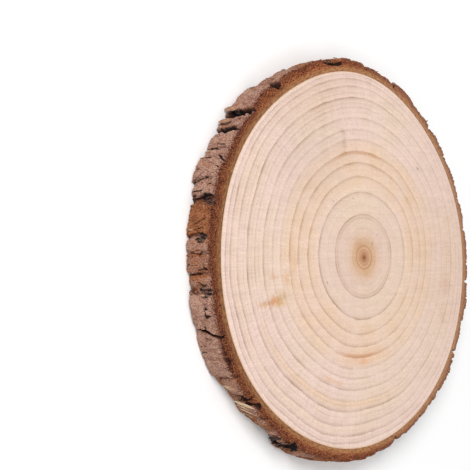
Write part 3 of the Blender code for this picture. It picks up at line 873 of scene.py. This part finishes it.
barkFlakes = {
    "strips": (  # angle, height, length, width, slant in degrees, rise, distance out, tone
        (219.9, 6.6, 7.4, 1.3, 216, 0.8, 4.3, 1.0), (221.8, 6.2, 7.2, 1.0, 219, 0.7, 4.0, 0.9),
        (223.6, 5.6, 7.0, 1.1, 223, 0.6, 3.8, 0.85), (226.2, 5.3, 7.6, 0.8, 232, 0.5, 3.7, 0.7),
        (229.2, 6.2, 6.0, 0.7, 236, 0.4, 3.7, 0.65), (214.4, 6.0, 6.6, 2.0, 210, 0.4, 4.5, 0.72),
        (234.4, 7.5, 4.4, 2.4, 200, 0.7, 4.9, 0.0), (239.4, 3.6, 5.0, 1.3, 204, 0.6, 4.4, 0.0),
        (241.8, 3.2, 4.8, 1.0, 210, 0.5, 4.6, 0.2), (136.0, 2.9, 5.2, 2.4, 170, 0.9, 6.2, 0.52),
        (140.4, 3.2, 5.0, 2.0, 168, 0.6, 5.9, 0.5), (123.6, 4.8, 5.4, 1.6, 156, 0.5, 4.8, 0.45),
        (120.0, 6.8, 4.6, 1.1, 166, 0.4, 5.4, 0.5),
    ),
    "scattered": 120,
    "length": (1.0, 2.8),
    "width": (0.3, 0.8),
    "rise": (0.05, 0.25),  # how far the loose end stands out
    "tone": (0.2, 0.6),
    "thickness": 0.3,
    "taper": 0.8,  # the share of its width that a flake has lost at its ends
    "curl": 0.8,  # how far its loose end curls out, in thicknesses
    "sink": 0.1,  # how deep the rest lies in the bark
    "seed": 8,
}


def flakePlaces():  # every flake: its middle, how it is turned, its size and its tone
    chance = random.Random(barkFlakes["seed"])
    every = [(*strip[:6], strip[7], strip[6]) for strip in barkFlakes["strips"]]
    for _ in range(barkFlakes["scattered"]):
        length = chance.uniform(*barkFlakes["length"])
        every.append((
            chance.uniform(0, 360), chance.uniform(0.5 * length, thickness - 0.5 * length), length,
            chance.uniform(*barkFlakes["width"]), chance.choice((0, 180)) + chance.uniform(-18, 18),
            chance.uniform(*barkFlakes["rise"]), chance.uniform(*barkFlakes["tone"]), None,
        ))
    angle = np.array([radians(flake[0]) for flake in every])
    height = np.array([flake[1] for flake in every])
    surface = weatheredBark(grownPlates(), angle, height / thickness)[0]
    places, turns, sizes, tones = [], [], [], []
    for index, (_, _, length, width, slant, rise, tone, out) in enumerate(every):
        outwards = Vector((cos(angle[index]), sin(angle[index]), 0.0))
        around = Vector((-outwards.y, outwards.x, 0.0))
        along = Vector((0.0, 0.0, cos(radians(slant))))
        along = (along + around * sin(radians(slant))) * length + outwards * rise
        along.normalize()
        across = outwards.cross(along).normalized()
        out = surface[index] - barkFlakes["sink"] if out is None else out
        spot = outwards * (outlineRadius(angle[index]) + out + rise / 2)
        spot = (spot + Vector((middle[0], middle[1], height[index]))) * mm
        reach = Vector((length, length, 0.0)) * 0.5 * mm
        low, high = spot - reach, spot + reach
        if low.x < barkLow.x or low.y < barkLow.y or high.x > barkHigh.x or high.y > barkHigh.y:
            continue  # it might stand out past the box
        places.append(spot)
        turns.append(Matrix((along, across, along.cross(across))).transposed().to_euler())
        sizes.append(Vector((length, width, barkFlakes["thickness"])) * mm)
        tones.append(tone)
    return places, turns, sizes, tones


def growFlakes(material):
    # Shards of bark still hanging on by one end: one tapered, curled shard on every point.
    tree, add, given = newTree("tornFlakes", {
        "Points": ("Geometry", None), "Material": ("Material", None),
        "Taper": ("Float", barkFlakes["taper"]), "Curl": ("Float", barkFlakes["curl"]),
    })
    shard = add("GeometryNodeMeshCube", {"Vertices X": 7, "Vertices Y": 3, "Vertices Z": 2})
    spot = add("SeparateXYZ", [add("GeometryNodeInputPosition")]).outputs
    fromMiddle = add("Math", (spot["X"], 2.0), "MULTIPLY")
    fromMiddle = add("Math", (fromMiddle, fromMiddle), "MULTIPLY")
    taper = add("Math", (1.0, add("Math", (fromMiddle, given["Taper"]), "MULTIPLY")), "SUBTRACT")
    narrow = add("Math", (spot["Y"], taper), "MULTIPLY")
    curl = add("Math", (add("Math", (spot["X"], 0.5), "ADD"), 2.0), "POWER")
    curl = add("Math", (curl, given["Curl"]), "MULTIPLY")
    thin = add("Math", (spot["Z"], taper, curl), "MULTIPLY_ADD")
    place = add("CombineXYZ", (spot["X"], narrow, thin))
    shard = add("GeometryNodeSetPosition", {"Geometry": shard.outputs["Mesh"], "Position": place})
    turned, size = (
        add("GeometryNodeInputNamedAttribute", {"Name": name}, data_type="FLOAT_VECTOR")
        for name in ("turned", "size")
    )
    every = add("GeometryNodeInstanceOnPoints", {
        "Points": given["Points"], "Instance": shard, "Rotation": turned, "Scale": size,
    })
    endTree(add, every, given["Material"])

    places, turns, sizes, tones = flakePlaces()
    seeds = bpy.data.meshes.new("flakePoints")
    seeds.from_pydata(places, [], [])
    for label, values in (("turned", turns), ("size", sizes)):
        values = np.array([tuple(value) for value in values], np.float32)
        seeds.attributes.new(label, "FLOAT_VECTOR", "POINT").data.foreach_set("vector", values.ravel())
    seeds.attributes.new("tone", "FLOAT", "POINT").data.foreach_set("value", tones)
    return runTree(tree, "barkFlakes", seeds, Material=material)


flakeColours = {
    "dark": "#1d110d",
    "brown": "#8a5f4a",
    "pale": "#cfb392",
    "roughness": 0.85,
}


def paintFlakes():
    # Torn bast fibre: dry, pale and stringy where it is fresh, nearly black where it has rotted.
    material, add, shader = newMaterial("tornBastFibre")
    tone = add("Attribute", attribute_name="tone").outputs["Fac"]
    where = add("TexCoord").outputs["Object"]
    drawnOut = add("Mapping", {"Vector": where, "Scale": (1 / mm, 1 / mm, 0.25 / mm)})
    strings = add("TexNoise", {"Vector": drawnOut, "Scale": 2.4, "Detail": 2.0})
    strung = add("MapRange", (strings, 0.3, 0.7, -0.22, 0.22))
    shade = add("Math", (tone, strung), "ADD", use_clamp=True)
    colours = add("ValToRGB", [shade])
    stops = colours.color_ramp.elements
    for count, (position, name) in enumerate(((0.0, "dark"), (0.45, "brown"), (1.0, "pale"))):
        element = stops[count] if count < 2 else stops.new(1.0)
        element.position = position
        element.color = linear(flakeColours[name])
    bump = add("Bump", {"Strength": 0.6, "Distance": 0.1 * mm, "Height": strings})
    add(shader, {"Base Color": colours, "Normal": bump,
                 "Roughness": flakeColours["roughness"], "Specular IOR Level": 0.2})
    return material


studio = {
    "floorSize": 4.0,  # metres, from the middle to each side
    "floorDrop": 0.00005,  # below the slice
    "floorGrey": 0.92,
    "glow": 0.55,  # of the white world round it
    "lamps": (("key", (-0.62, 0.52, 0.72), 0.5, 8.6), ("fill", (-0.3, -0.6, 0.8), 0.8, 2.5)),
}


def makeStage():
    # A plain pale floor, and soft studio light from above and from the camera's side.
    mesh = bpy.data.meshes.new("floor")
    size, grey = studio["floorSize"], studio["floorGrey"]
    corners = [(-size, -size, 0), (size, -size, 0), (size, size, 0), (-size, size, 0)]
    mesh.from_pydata(corners, [], [(0, 1, 2, 3)])
    floor = newObject("floor", mesh)
    floor.location.z = -studio["floorDrop"]
    material, add, shader = newMaterial("paleFloor")
    add(shader, {"Base Color": (grey, grey, grey, 1.0), "Roughness": 0.9, "Specular IOR Level": 0.0})
    mesh.materials.append(material)
    world = bpy.data.worlds.new("studio")
    world.use_nodes = True
    glow = world.node_tree.nodes["Background"]
    addNode(world.node_tree, glow, {"Color": (1.0, 1.0, 1.0, 1.0), "Strength": studio["glow"]})
    bpy.context.scene.world = world
    for name, spot, size, power in studio["lamps"]:
        lamp = newObject(name, bpy.data.lights.new(name, "AREA"))
        lamp.data.size = size
        lamp.data.energy = power
        lamp.location = spot
        lamp.rotation_euler = (-Vector(spot)).to_track_quat("-Z", "Y").to_euler()


makeStage()
bpy.context.scene.view_settings.view_transform = "Standard"

wood = growWoodDisc(paintEndGrain())
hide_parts("wood_disc")
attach(wood, "root")
print("slice: wood disc,", len(wood.data.polygons), "faces")

bark = growBark(paintBark())
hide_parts("bark_ring")
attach(bark, "root")
print("slice: bark,", len(bark.data.polygons), "faces")

flakes = growFlakes(paintFlakes())
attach(flakes, "root")
print("slice: flakes,", len(flakes.data.polygons), "faces")
